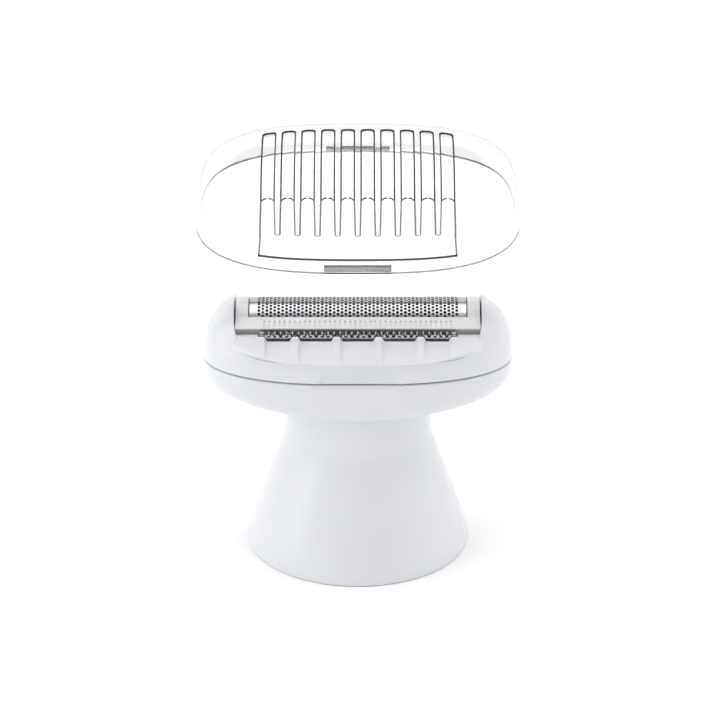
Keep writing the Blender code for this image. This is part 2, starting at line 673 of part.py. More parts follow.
def build_eccentric():
    """The gear turns on its axle and carries the pin that swings the bridge."""
    step = 2 * math.pi / GEAR_TEETH
    turn = math.pi + step / 2
    outline = [(x + GEAR_X, y) for x, y in gear_outline(GEAR_TEETH, turn)]
    gear = add_part("eccentric_gear", prism(outline, GEAR_Z, GEAR_Z + GEAR_HEIGHT), NATURAL)
    cut(gear, cylinder(AXLE_RADIUS + RUN_CLEARANCE, GEAR_Z - 1 * MM, GEAR_Z + GEAR_HEIGHT + 1 * MM,
                       GEAR_X, 0, 16))
    cover_top = GEAR_Z + GEAR_HEIGHT + 2 * GAP + 0.3 * MM
    disc = [(0, cover_top), (2.4 * MM, cover_top), (2.4 * MM, GEAR_Z + GEAR_HEIGHT + GAP + 0.2 * MM),
            (0, GEAR_Z + GEAR_HEIGHT + GAP + 0.2 * MM)]
    crank = turned(disc, 20)
    crank.transform(Matrix.Translation((GEAR_X, 0, 0)))
    pin = add_part("eccentric_pin", crank, STEEL)
    join(pin, cylinder(PIN_RADIUS, cover_top - 0.2 * MM, BRIDGE_TOP + 0.2 * MM, GEAR_X,
                       ECCENTRICITY, 16))


def build_bridge():
    half = BRIDGE_HALF_WIDTH
    bridge = add_part("swing_bridge", box(-half, half, -BRIDGE_HALF_DEPTH, BRIDGE_HALF_DEPTH,
                                          BRIDGE_Z, BRIDGE_TOP), NATURAL)
    reach = PIN_RADIUS + ECCENTRICITY + GAP
    cut(bridge, box(GEAR_X - reach - STROKE, GEAR_X + reach + STROKE, -reach, reach,
                    BRIDGE_Z - 1 * MM, BRIDGE_TOP + 1 * MM))
    post_top = CARRIER_Z + 0.7 * MM
    join(bridge, box(-POST_HALF, POST_HALF, -POST_HALF, POST_HALF, BRIDGE_Z + 0.2 * MM, post_top))
    finger_y = finger_place()
    join(bridge, box(-FINGER_HALF_WIDTH, FINGER_HALF_WIDTH, finger_y, finger_y + FINGER_THICK,
                     BRIDGE_Z + 0.2 * MM, FINGER_TOP))
    foot = CARRIER_Z - GAP
    spring = coil(POST_HALF * 1.42 + 2 * SPRING_WIRE, SPRING_WIRE, BRIDGE_TOP + 0.1 * MM,
                  foot + 0.2 * MM, 2, 0, 0)
    add_part("cutter_spring", spring, STEEL)


def finger_place():
    """Front face of the finger that moves the trimmer blade, inside the frame's front wall."""
    return -(FRAME_HALF_DEPTH - FRAME_WALL - RUN_CLEARANCE)


# ---------------------------------------------------------------- foil unit

def build_foil_frame():
    arch = FOIL_RADIUS + 0.15 * MM
    edge_angle = math.asin(min(0.95, (DECK_Z - FOIL_CENTRE_Z) / arch))
    left = [(-FRAME_HALF_DEPTH, FRAME_BOTTOM_Z), (-FRAME_HALF_DEPTH, LIP_Z), (-LIP_HALF_DEPTH, LIP_Z),
            (-LIP_HALF_DEPTH, LIP_Z + LIP_EDGE)]
    steps = 16
    span = math.pi - 2 * edge_angle
    crown = []
    for i in range(steps + 1):
        angle = math.pi - edge_angle - span * i / steps
        crown.append((arch * math.cos(angle), FOIL_CENTRE_Z + arch * math.sin(angle)))
    right = [(-y, z) for y, z in reversed(left)]
    outline = left + crown + right
    frame = add_part("foil_frame", prism(outline, -FRAME_HALF_WIDTH, FRAME_HALF_WIDTH, "X"), WHITE)
    opening = FOIL_RADIUS + 0.2 * MM
    cut(frame, cylinder_along_x(opening, -SPAN_INSIDE, SPAN_INSIDE, 0, FOIL_CENTRE_Z))
    inner_y = FRAME_HALF_DEPTH - FRAME_WALL
    cut(frame, box(-SPAN_INSIDE, SPAN_INSIDE, -inner_y, inner_y, FRAME_BOTTOM_Z - 1 * MM, LIP_Z - 0.1 * MM))
    reach = FINGER_HALF_WIDTH + STROKE + GAP
    cut(frame, box(-reach, reach, -inner_y, finger_place() + FINGER_THICK + GAP, BLADE_Z,
                   FINGER_TOP + FLOAT + 0.15 * MM))
    reach = TRIMMER_HALF_LENGTH + GAP
    cut(frame, box(-reach, reach, -FRAME_HALF_DEPTH - 1 * MM, -inner_y + 0.5 * MM,
                   BLADE_Z - 0.2 * MM, BLADE_Z + BLADE_THICK + 0.2 * MM))


def arc_band(outer, inner, sweep, steps):
    """Section of a curved strip about the foil's centre line, as (y, z) points."""
    points = []
    for radius, way in ((outer, 1), (inner, -1)):
        for i in range(steps + 1):
            angle = math.pi / 2 + way * sweep * (1 - 2 * i / steps)
            points.append((radius * math.cos(angle), FOIL_CENTRE_Z + radius * math.sin(angle)))
    return points


def build_foil():
    sheet = arc_band(FOIL_RADIUS, FOIL_RADIUS - FOIL_THICK, math.radians(86), 20)
    add_part("shaving_foil", prism(sheet, -FOIL_HALF_LENGTH, FOIL_HALF_LENGTH, "X"), STEEL)
    outer = FOIL_RADIUS - FOIL_THICK - 0.1 * MM
    former = arc_band(outer, outer - FORMER_THICK, math.radians(80), 12)
    far = FOIL_HALF_LENGTH - 0.1 * MM
    near = CUTTER_HALF_LENGTH + STROKE + GAP
    add_part("foil_former_left", prism(former, -far, -near, "X"), GREY)
    add_part("foil_former_right", prism(former, near, far, "X"), GREY)


def build_cutter():
    carrier_y = FOIL_RADIUS - 1.5 * MM
    carrier = add_part("cutter_carrier", box(-CUTTER_HALF_LENGTH, CUTTER_HALF_LENGTH, -carrier_y,
                                             carrier_y, CARRIER_Z, BLADES_Z - GAP), GREY)
    hole = POST_HALF + GAP
    cut(carrier, box(-hole, hole, -hole, hole, CARRIER_Z - 1 * MM, BLADES_Z - GAP - 0.35 * MM))

    half = CUTTER_HALF_LENGTH
    blades = add_part("cutter_blades", cylinder_along_x(CUTTER_RADIUS, -half, half, 0, FOIL_CENTRE_Z, 32),
                      STEEL)
    wide = CUTTER_RADIUS + 1 * MM
    cut(blades, box(-half - MM, half + MM, -wide, wide, FOIL_CENTRE_Z - wide, BLADES_Z))
    count = int((2 * half - LAMELLA_THICK) / LAMELLA_PITCH)
    pitch = (2 * half - LAMELLA_THICK) / count
    slots = []
    for i in range(count):
        start = -half + LAMELLA_THICK + i * pitch
        slots.append(box(start, start + pitch - LAMELLA_THICK, -wide, wide,
                         BLADES_Z + 1.3 * MM, FOIL_CENTRE_Z + wide))
    cut(blades, merged(slots))


def build_trimmer():
    """A folded steel comb on the frame, with a toothed blade that slides inside it."""
    nose, back = TRIMMER_NOSE_Y, -FRAME_HALF_DEPTH - 0.1 * MM
    low, high = TRIMMER_Z, TRIMMER_Z + TRIMMER_HEIGHT
    leaf = TRIMMER_LEAF
    outline = [(back, low), (nose + 0.3 * MM, low), (nose, low + 0.3 * MM), (nose, high - 0.3 * MM),
               (nose + 0.3 * MM, high), (back, high), (back, high - leaf), (nose + leaf + 0.2 * MM, high - leaf),
               (nose + leaf, high - leaf - 0.2 * MM), (nose + leaf, low + leaf + 0.2 * MM),
               (nose + leaf + 0.2 * MM, low + leaf), (back, low + leaf)]
    half = TRIMMER_HALF_LENGTH
    comb = add_part("trimmer_comb", prism(outline, -half, half, "X"), STEEL)
    count = int((2 * half - TOOTH_GAP) / TOOTH_PITCH)
    first = -(count - 1) * TOOTH_PITCH / 2
    slots = []
    for i in range(count):
        x = first + i * TOOTH_PITCH
        slots.append(box(x - TOOTH_GAP / 2, x + TOOTH_GAP / 2, nose - 1 * MM, back - 0.5 * MM,
                         low - 1 * MM, high + 1 * MM))
    cut(comb, merged(slots))

    tip, root = nose + leaf + 0.15 * MM, nose + 1.2 * MM
    tail = finger_place() + FINGER_THICK + 0.1 * MM
    reach = half - STROKE - 0.1 * MM
    teeth = int(2 * reach / TOOTH_PITCH)
    pitch = 2 * reach / teeth
    front = []
    for i in range(teeth):
        x = -reach + i * pitch
        front += [(x, tip), (x + pitch * 0.45, tip), (x + pitch * 0.55, root), (x + pitch * 0.9, root)]
    body = finger_place() - 0.1 * MM
    prong = FINGER_HALF_WIDTH + GAP
    rear = [(reach, root), (reach, body - 0.5 * MM), (prong + 1.5 * MM, body - 0.5 * MM),
            (prong + 1.5 * MM, tail), (prong, tail), (prong, body), (-prong, body), (-prong, tail),
            (-prong - 1.5 * MM, tail), (-prong - 1.5 * MM, body - 0.5 * MM), (-reach, body - 0.5 * MM)]
    add_part("trimmer_blade", prism(front + rear, BLADE_Z, BLADE_Z + BLADE_THICK), STEEL)


# ---------------------------------------------------------------- clear comb cap

def cap_dome(inset, levels, lower=0.0):
    """The cap's outer form drawn in by inset, as a solid that starts lower below the rim."""
    rings = dome_rings(CAP_HALF_WIDTH - inset, CAP_HALF_DEPTH - inset, CAP_HEIGHT - inset, CAP_Z, levels,
                       CAP_PLAN_POWER)
    if lower:
        rings.insert(0, [p - Vector((0, 0, lower)) for p in rings[0]])
    return loft(rings)


def inside_cap(x, y, rise, inset):
    """Whether a point, at a height above the rim, is inside the cap's outer form drawn in by inset."""
    share = rise / (CAP_HEIGHT - inset)
    if share >= 1:
        return False
    width = (CAP_HALF_WIDTH - inset) * (1 - share ** DOME_POWER_WIDE) ** (1 / DOME_POWER_WIDE)
    depth = (CAP_HALF_DEPTH - inset) * (1 - share ** DOME_POWER_DEEP) ** (1 / DOME_POWER_DEEP)
    return (abs(x) / width) ** CAP_PLAN_POWER + (abs(y) / depth) ** CAP_PLAN_POWER < 1


def crown_radius(x, angle, inset):
    """Distance from the rim's middle line out to the cap's form, at a slope angle, found by halving."""
    low, high = 0.0, CAP_HALF_WIDTH
    for _ in range(30):
        radius = (low + high) / 2
        if inside_cap(x, radius * math.cos(angle), radius * math.sin(angle), inset):
            low = radius
        else:
            high = radius
    return low


def tine_centres():
    return [(i - (TINE_COUNT - 1) / 2) * TINE_PITCH for i in range(TINE_COUNT)]


def tine_section(x):
    """Side view of a tine: it follows the crown forward from the rear, and ends in a free tip."""
    steps = 10
    outer, inner = [], []
    for i in range(steps + 1):
        angle = TINE_REAR_ANGLE + (TIP_ANGLE - TINE_REAR_ANGLE) * i / steps
        taper = 1 - 0.5 * max(0.0, (angle - ARCH_ANGLE) / (TIP_ANGLE - ARCH_ANGLE))
        radius = crown_radius(x, angle, CAP_WALL / 3)
        depth = (CAP_WALL * 2 / 3 + TINE_DEPTH) * taper
        outer.append((radius * math.cos(angle), CAP_Z + radius * math.sin(angle)))
        inner.append(((radius - depth) * math.cos(angle), CAP_Z + (radius - depth) * math.sin(angle)))
    return outer + inner[::-1]


def build_comb_cap():
    hinge = bpy.data.objects.new("cap_lift_axis", None)
    hinge.location = (0, LIFT_AXIS_Y, LIFT_AXIS_Z)
    hinge.rotation_euler = (LIFT_ANGLE, 0, 0)
    PARTS.objects.link(hinge)
    cap = add_part("comb_cap", cap_dome(0, 9), CLEAR)
    cap.parent = hinge
    cap.location = (0, -LIFT_AXIS_Y, -LIFT_AXIS_Z)

    cut(cap, cap_dome(CAP_WALL, 9, 1 * MM))
    half = WINDOW_HALF_WIDTH
    cut(cap, box(-half, half, -CAP_HALF_DEPTH - 2 * MM, ARCH_Y, CAP_Z + STRIP_HEIGHT,
                 CAP_Z + CAP_HEIGHT))
    tines = [prism(tine_section(x), x - TINE_WIDTH / 2, x + TINE_WIDTH / 2, "X")
             for x in tine_centres()]
    join(cap, merged(tines))
    tabs = []
    for side in (-1, 1):
        near = side * (HEAD_HALF_DEPTH + CAP_CLEARANCE - SNAP_DEPTH)
        far = side * (CAP_HALF_DEPTH - CAP_WALL / 3)
        tabs.append(box(-SNAP_HALF_WIDTH, SNAP_HALF_WIDTH, min(near, far), max(near, far),
                        CAP_Z + 0.2 * MM, CAP_Z + 1.1 * MM))
    join(cap, merged(tabs))


def main():
    build_lower_shell()
    build_upper_shell()
    build_front_ramp()
    build_rear_ramp()
    build_chassis()
    build_screws()
    build_collar()
    build_bush_and_seal()
    build_gear_axle()
    build_foil_springs()
    build_drive()
    build_eccentric()
    build_bridge()
    build_foil_frame()
    build_foil()
    build_cutter()
    build_trimmer()
    build_comb_cap()


clear_scene()
PARTS = make_collection("epilator_shaver_head")
CUTTERS = make_collection("cutters")
main()
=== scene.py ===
"""How the epilator's shaver head looks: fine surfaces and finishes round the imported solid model.

Lengths are metres, the head stands on Z = 0 and its trimmer side faces -Y. The clear comb cap is
built in the place where it sits on the head, and is then turned up to its lifted place.
"""
import json
import math

import bmesh
import bpy
from mathutils import Matrix, Vector

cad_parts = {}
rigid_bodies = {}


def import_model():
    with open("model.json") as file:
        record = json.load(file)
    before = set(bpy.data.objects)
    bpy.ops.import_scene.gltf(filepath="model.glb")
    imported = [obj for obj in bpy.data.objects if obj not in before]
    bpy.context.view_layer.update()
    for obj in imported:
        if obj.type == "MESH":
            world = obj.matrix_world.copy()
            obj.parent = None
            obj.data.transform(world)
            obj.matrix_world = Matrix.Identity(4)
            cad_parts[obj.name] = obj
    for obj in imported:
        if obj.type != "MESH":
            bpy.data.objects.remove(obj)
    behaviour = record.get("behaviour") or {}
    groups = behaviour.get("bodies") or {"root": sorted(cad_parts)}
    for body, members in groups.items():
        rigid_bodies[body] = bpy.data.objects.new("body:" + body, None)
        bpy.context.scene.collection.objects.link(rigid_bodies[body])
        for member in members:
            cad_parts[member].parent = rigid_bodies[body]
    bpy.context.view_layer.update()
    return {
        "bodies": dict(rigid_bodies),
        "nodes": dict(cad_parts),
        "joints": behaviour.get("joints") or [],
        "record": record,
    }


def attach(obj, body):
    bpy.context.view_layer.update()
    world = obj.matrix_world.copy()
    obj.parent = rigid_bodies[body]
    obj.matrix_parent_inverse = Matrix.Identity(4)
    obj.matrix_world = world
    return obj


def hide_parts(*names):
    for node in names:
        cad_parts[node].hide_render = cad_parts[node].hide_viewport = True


MM = 0.001

# ---- head ----
HALF_WIDTH = 29.0 * MM
HALF_DEPTH = 15.7 * MM
PLAN_POWER = 2.4
PARTING_Z = 38.5 * MM
GAP = 0.3 * MM
UPPER_Z = PARTING_Z + GAP
DOME_HEIGHT = 13.2 * MM
DOME_POWER_WIDE = 3.0
DOME_POWER_DEEP = 2.0
WALL = 1.5 * MM
BASE_RADIUS = 21.4 * MM
NECK_RADIUS = 14.05 * MM
NECK_Z = 23.5 * MM
BOWL_DEPTH = 7.5 * MM
BOWL_POWER = 2.9
NECK_FILLET = 0.8 * MM
FILLET_SHARE = 0.05
WEB_Z = 22.5 * MM
WEB_TOP = 24.0 * MM
HUB_RADIUS = 3.0 * MM
EDGE_ROUND = 0.25 * MM
HEAD_POINTS = 224
DOME_ROWS = 26
# (inset from the base radius, height) round the foot of the skirt, from the inside out
BASE_EDGE = ((WALL - 0.3 * MM, 0), (0.55 * MM, 0), (0.25 * MM, 0.08 * MM), (0.1 * MM, 0.3 * MM))
SKIRT_START_Z = 0.7 * MM
SKIRT_INSIDE_Z = 0.3 * MM
BOWL_END = math.radians(87.5)
BOWL_INSIDE_END = math.radians(85)

# ---- recess, notch and ramps ----
RECESS_HALF_WIDTH = 23.2 * MM
RECESS_EDGE = 0.6 * MM
RECESS_END = 0.2 * MM
RECESS_BLEND = 14
# (inward, down) from the edge of the recess, round to its wall
RECESS_ROUND = ((0.08 * MM, 0.03 * MM), (0.14 * MM, 0.09 * MM), (0.17 * MM, 0.2 * MM))
NOTCH_TOP = 6.5 * MM
NOTCH_FOOT = 7.2 * MM
NOTCH_HEIGHT = 2.0 * MM
NOTCH_DEPTH = 0.55 * MM
RAMP_FRONT_RISE = 3.3 * MM
POCKET_RISE = 6.05 * MM
RIB_RISE = 7.0 * MM
RAMP_BACK_Y = 8.9 * MM
LIP_BACK_Y = 7.9 * MM
RIB_X = (3.85 * MM, 11.5 * MM, 17.7 * MM)
RIB_HALF = 0.45 * MM
RIB_SIDE = 0.7 * MM
RAMP_COLUMNS = 460
RAMP_STEPS = 14
TRIMMER_ROOM = 0.4 * MM

# ---- foil unit ----
FOIL_RADIUS = 5.0 * MM
FOIL_THICK = 0.15 * MM
FOIL_Z = PARTING_Z + 5.84 * MM
FOIL_HALF_LENGTH = 20.1 * MM
FOIL_SWEEP = math.radians(86)
CELL_WIDTH = 0.733 * MM
CELL_HEIGHT = 0.74 * MM
HOLE_RADIUS = 0.28 * MM
CELL_COLUMNS = 51
CELL_ROWS = 14
FRAME_HALF_WIDTH = 22.6 * MM
FRAME_HALF_DEPTH = 6.8 * MM
FRAME_BOTTOM_Z = PARTING_Z + 2.5 * MM
FRAME_WALL = 0.8 * MM
SPAN_INSIDE = 20.3 * MM
# half width, distance of its back from the middle, and top of the pocket for the bridge's finger
FINGER_POCKET = (2.3 * MM, 4.9 * MM, PARTING_Z + 8.2 * MM)
LIP_HALF_DEPTH = 7.6 * MM
LIP_Z = PARTING_Z + 7.9 * MM
LIP_TOP_Z = LIP_Z + 0.3 * MM
DECK_Z = PARTING_Z + 8.95 * MM
DECK_ABOVE_FOIL = 0.15 * MM
BORE_ROOM = 0.2 * MM
LIP_NOTCH_PITCH = 0.93 * MM
LIP_NOTCH_HALF = 0.16 * MM
LIP_NOTCH_DEPTH = 0.22 * MM
LIP_NOTCH_FROM = 0.15 * MM
LIP_NOTCH_TO = 2.3 * MM

# ---- trimmer ----
TRIMMER_HALF = 18.0 * MM
NOSE_Y = -8.6 * MM
TRIMMER_BACK_Y = -6.9 * MM
TRIMMER_Z = PARTING_Z + 6.3 * MM
TRIMMER_HEIGHT = 1.3 * MM
LEAF = 0.25 * MM
TOOTH_PITCH = 1.09 * MM

# ---- clear comb cap ----
CAP_Z = PARTING_Z + 0.3 * MM
CAP_WALL = 0.7 * MM
CAP_HALF_WIDTH = 29.9 * MM
CAP_HALF_DEPTH = 17.3 * MM
CAP_HEIGHT = 14.8 * MM
CAP_PLAN_POWER = 2.8
CAP_LEVELS = 34
CAP_TOP_SHARE = 0.99998
GAP_COUNT = 10
GAP_PITCH = 3.56 * MM
GAP_HALF = 1.34 * MM
GAP_HALF_TIP = 1.5 * MM
GROOVE_DEPTH = 0.35 * MM
GROOVE_ROUND = 0.9 * MM
SIDE_SLOPE = 0.3 * MM
ARCH_LEAN = 0.45 * MM
ARCH_HEIGHT = 1.1 * MM
ARCH_STATIONS = 8
GROOVE_REAR = math.radians(64)
ARCH = math.radians(129)
TIP = math.radians(155)
CUT_OVERLAP = 0.08
TIP_OVERLAP = 0.02
WINDOW_FOOT = 2.8 * MM
WINDOW_HALF_TOP = 17.45 * MM
WINDOW_HALF_FOOT = 17.8 * MM
CUT_INSIDE = 9.0 * MM
CUT_OUTSIDE = 24.0 * MM
TAB_HALF = 6.0 * MM
THROUGH_LEVELS = [(None, CUT_INSIDE, SIDE_SLOPE), (CAP_WALL, 0, SIDE_SLOPE), (0, 0, 0),
                  (None, CUT_OUTSIDE, 0)]
LIFT = math.radians(21)
LIFT_AXIS = Vector((0, -76.0, 53.0)) * MM

# ---- mesh work and finishes ----
WELD = 0.002 * MM
PROBE = 0.01 * MM
BEVEL_ANGLE = math.radians(35)
SHARP_ANGLE = math.radians(32)
NOISE_DETAIL = 4.0
PLASTIC_GRAIN = 2600.0
METAL_GRAIN = 900.0
BUMP_DEPTH = 0.02 * MM
CLEAR_IOR = 1.49

# ---- studio ----
FLOOR_HALF = 4
FRONT_STRENGTH = 0.28
SIDE_STRENGTH = 1.12
STRIP_ELEVATION = math.radians(56)
# name, size, watts, place, aim
LIGHTS = (("overhead", (0.8, 0.8), 2.7, (0, 0.05, 0.9), (0, 0, 0.03)),
          ("left_softbox", (0.6, 0.7), 1.3, (-0.7, -0.15, 0.3), (0, 0, 0.04)),
          ("right_softbox", (0.4, 0.7), 0.5, (0.75, 0.1, 0.3), (0, 0, 0.04)))
CAMERA_PLACE = (0.0004, -0.430, 0.2277)
CAMERA_TILT = math.radians(66.07)
SENSOR_WIDTH = 36.0
LENS = 125.0


# ---------------------------------------------------------------- meshes

def spaced(count, pitch):
    """Evenly spaced places, centred on 0."""
    return [(i - (count - 1) / 2) * pitch for i in range(count)]


def mesh_from(points, faces):
    mesh = bpy.data.meshes.new("shape")
    mesh.from_pydata([tuple(p) for p in points], [], faces)
    return tidy_normals(mesh)


def tidy_normals(mesh):
    bm = bmesh.new()
    bm.from_mesh(mesh)
    bmesh.ops.recalc_face_normals(bm, faces=bm.faces)
    bm.to_mesh(mesh)
    bm.free()
    return mesh


def loft(rings, wrap=False):
    """A closed solid through rings of equal point counts. With wrap, the last joins the first."""
    count = len(rings[0])
    points = [p for ring_points in rings for p in ring_points]
    faces = []
    spans = len(rings) if wrap else len(rings) - 1
    for level in range(spans):
        low, high = level * count, ((level + 1) % len(rings)) * count
        for i in range(count):
            j = (i + 1) % count
            faces.append((low + i, low + j, high + j, high + i))
    if not wrap:
        faces.append(tuple(range(count)))
        faces.append(tuple(range((len(rings) - 1) * count, len(rings) * count)))
    return mesh_from(points, faces)


def prism_x(outline, x0, x1):
    """A (y, z) outline drawn out along X."""
    return loft([[Vector((x, y, z)) for y, z in outline] for x in (x0, x1)])


def box(x0, x1, y0, y1, z0, z1):
    return prism_x([(y0, z0), (y1, z0), (y1, z1), (y0, z1)], x0, x1)


def merged(meshes, materials=()):
    """One mesh that holds several shapes which don't touch."""
    bm = bmesh.new()
    for mesh in meshes:
        bm.from_mesh(mesh)
    joined = bpy.data.meshes.new("shape")
    bm.to_mesh(joined)
    bm.free()
    for material in materials:
        joined.materials.append(material)
    return joined


def linked(name, data):
    """A new object with this data, in the scene."""
    obj = bpy.data.objects.new(name, data)
    bpy.context.scene.collection.objects.link(obj)
    return obj


def with_modifiers(obj):
    """The object's mesh after its modifiers; the object itself is removed."""
    bpy.context.view_layer.update()
    result = bpy.data.meshes.new_from_object(obj.evaluated_get(bpy.context.evaluated_depsgraph_get()))
    bpy.data.objects.remove(obj)
    return result


def cut(mesh, tool):
    """The mesh with the tool's shape cut out of it."""
    body, cutter = linked("body", mesh), linked("cutter", tool)
    modifier = body.modifiers.new("Boolean", "BOOLEAN")
    modifier.operation, modifier.solver, modifier.object = "DIFFERENCE", "EXACT", cutter
    result = with_modifiers(body)
    bpy.data.objects.remove(cutter)
    return result


def bevelled(mesh, width):
    """The mesh with its sharp edges rounded."""
    bm = bmesh.new()
    bm.from_mesh(mesh)
    bmesh.ops.remove_doubles(bm, verts=bm.verts, dist=WELD)
    sharp = [e for e in bm.edges if len(e.link_faces) == 2 and e.calc_face_angle() > BEVEL_ANGLE]
    bmesh.ops.bevel(bm, geom=sharp, offset=width, segments=2, affect="EDGES", profile=0.5,
                    clamp_overlap=True)
    bm.to_mesh(mesh)
    bm.free()
    return mesh


def oval_point(half_width, half_depth, power, angle, z):
    """A point on a level superellipse. Power 2 is an ellipse."""
    c, s = math.cos(angle), math.sin(angle)
    return Vector((half_width * math.copysign(abs(c) ** (2 / power), c),
                   half_depth * math.copysign(abs(s) ** (2 / power), s), z))


def ring(half_width, half_depth, power, z):
    return [oval_point(half_width, half_depth, power, 2 * math.pi * i / HEAD_POINTS, z)
            for i in range(HEAD_POINTS)]


def circle(radius, z):
    return ring(radius, radius, 2, z)


def dome_size(half_width, half_depth, share):
    """Half width and half depth of a dome at a share of its height."""
    return (half_width * (1 - share ** DOME_POWER_WIDE) ** (1 / DOME_POWER_WIDE),
            half_depth * (1 - share ** DOME_POWER_DEEP) ** (1 / DOME_POWER_DEEP))


# ---------------------------------------------------------------- housing

def skirt_radius(z):
    """The skirt flares from the neck to the base, steepest in the middle of its height."""
    t = max(0.0, 1 - z / NECK_Z)
    return NECK_RADIUS + (BASE_RADIUS - NECK_RADIUS) * (1.5 * t ** 1.3 - 0.5 * t ** 2.6)


def bowl_ring(share, z, inset=0.0):
    """Round at the neck (share 0) and the head's own plan at the rim (share 1)."""
    width = NECK_RADIUS + (HALF_WIDTH - NECK_RADIUS) * share - inset
    depth = NECK_RADIUS + (HALF_DEPTH - NECK_RADIUS) * share - inset
    return ring(width, depth, 2 + (PLAN_POWER - 2) * share, z)


def bowl_curve(angle, depth=BOWL_DEPTH):
    """Share of the way out from neck to rim, and drop below the parting plane, on the bowl."""
    share = math.sin(angle) ** (2 / BOWL_POWER)
    return share, depth * max(0.0, math.cos(angle)) ** (2 / BOWL_POWER)


def lower_shell_mesh():
    """Skirt, neck and bowl: up the outside, over the rim, down inside to the web, and down the skirt."""
    rings = [circle(BASE_RADIUS - inset, z) for inset, z in BASE_EDGE]
    for i in range(37):
        z = SKIRT_START_Z + (NECK_Z - SKIRT_START_Z) * i / 36
        rings.append(circle(skirt_radius(z), z))
    corner = PARTING_Z - BOWL_DEPTH
    for i in range(7):
        angle = math.pi / 2 * i / 6
        rings.append(bowl_ring(FILLET_SHARE * (1 - math.cos(angle)),
                               corner - NECK_FILLET * (1 - math.sin(angle))))
    first = math.asin(FILLET_SHARE ** (BOWL_POWER / 2))
    for i in range(1, 32):
        share, drop = bowl_curve(first + (BOWL_END - first) * i / 31)
        rings.append(bowl_ring(share, PARTING_Z - drop))
    rings += [bowl_ring(1, PARTING_Z - EDGE_ROUND),
              bowl_ring(1, PARTING_Z - EDGE_ROUND / 3, EDGE_ROUND / 3),
              bowl_ring(1, PARTING_Z, EDGE_ROUND), bowl_ring(1, PARTING_Z, WALL)]
    for i in range(13):
        share, drop = bowl_curve(BOWL_INSIDE_END * (1 - i / 12), BOWL_DEPTH - WALL)
        rings.append(bowl_ring(share, PARTING_Z - drop, WALL))
    rings.append(circle(NECK_RADIUS - WALL, WEB_TOP))
    rings += [circle(HUB_RADIUS, z) for z in (WEB_TOP, WEB_Z)]
    for i in range(13):
        z = WEB_Z + (SKIRT_INSIDE_Z - WEB_Z) * i / 12
        rings.append(circle(skirt_radius(z) - WALL, z))
    return loft(rings, wrap=True)


def in_recess(x, y):
    """Below 1 inside the recess, above 1 outside; its corners are a little rounded."""
    plan = ((abs(x) / (HALF_WIDTH - RECESS_END)) ** PLAN_POWER
            + (abs(y) / (HALF_DEPTH - RECESS_EDGE)) ** PLAN_POWER) ** (1 / PLAN_POWER)
    side = abs(x) / RECESS_HALF_WIDTH
    return (plan ** RECESS_BLEND + side ** RECESS_BLEND) ** (1 / RECESS_BLEND)


def dome_point(angle, share):
    """A point of the upper shell's outside, at a share of the dome's height."""
    width, depth = dome_size(HALF_WIDTH, HALF_DEPTH, share)
    return oval_point(width, depth, PLAN_POWER, angle, UPPER_Z + DOME_HEIGHT * share)


def recess_share(angle):
    """How far up the dome the edge of the recess is, found by halving."""
    low, high = 0.0, 1.0
    for _ in range(30):
        share = (low + high) / 2
        point = dome_point(angle, share)
        if in_recess(point.x, point.y) > 1:
            low = share
        else:
            high = share
    return low


def upper_shell_mesh():
    """Each column goes up the dome to the recess, over its edge, down inside and back below."""
    columns = []
    for i in range(HEAD_POINTS):
        angle = 2 * math.pi * i / HEAD_POINTS
        top = recess_share(angle)
        foot = dome_point(angle, 0)
        drawn_in = Vector((foot.x, foot.y, 0)).normalized() * EDGE_ROUND
        column = [foot - drawn_in, foot - drawn_in / 4 + Vector((0, 0, EDGE_ROUND / 3))]
        low = EDGE_ROUND / DOME_HEIGHT
        for k in range(DOME_ROWS + 1):
            share = low + (top - low) * math.sin(math.pi / 2 * k / DOME_ROWS)
            column.append(dome_point(angle, share))
        edge = column[-1]
        slope = Vector((in_recess(edge.x + PROBE, edge.y) - in_recess(edge.x - PROBE, edge.y),
                        in_recess(edge.x, edge.y + PROBE) - in_recess(edge.x, edge.y - PROBE), 0))
        inward = -slope.normalized()
        for out, down in RECESS_ROUND:
            column.append(edge + inward * out - Vector((0, 0, down)))
        wall = column[-1]
        column += [Vector((wall.x, wall.y, z)) for z in (UPPER_Z + 0.1 * MM, UPPER_Z)]
        columns.append(column)
    mesh = loft([[column[k] for column in columns] for k in range(len(columns[0]))], wrap=True)
    outline = [(-NOTCH_FOOT, PARTING_Z - MM), (NOTCH_FOOT, PARTING_Z - MM), (NOTCH_FOOT, UPPER_Z),
               (NOTCH_TOP, UPPER_Z + NOTCH_HEIGHT), (-NOTCH_TOP, UPPER_Z + NOTCH_HEIGHT),
               (-NOTCH_FOOT, UPPER_Z)]
    notches = []
    for side in (-1, 1):
        near, far = side * (HALF_DEPTH - NOTCH_DEPTH), side * (HALF_DEPTH + MM)
        notches.append(loft([[Vector((x, y, z)) for x, z in outline] for y in (near, far)]))
    return cut(mesh, merged(notches))


def smooth_step(value):
    value = min(1.0, max(0.0, value))
    return value * value * (3 - 2 * value)


def rib_share(x):
    """1 on a rib and at both ends of the ramp, 0 in the pockets between them."""
    near = min(abs(abs(x) - rib) for rib in RIB_X)
    if abs(x) > RIB_X[-1]:
        return 1.0
    return 1 - smooth_step((near - RIB_HALF) / RIB_SIDE)


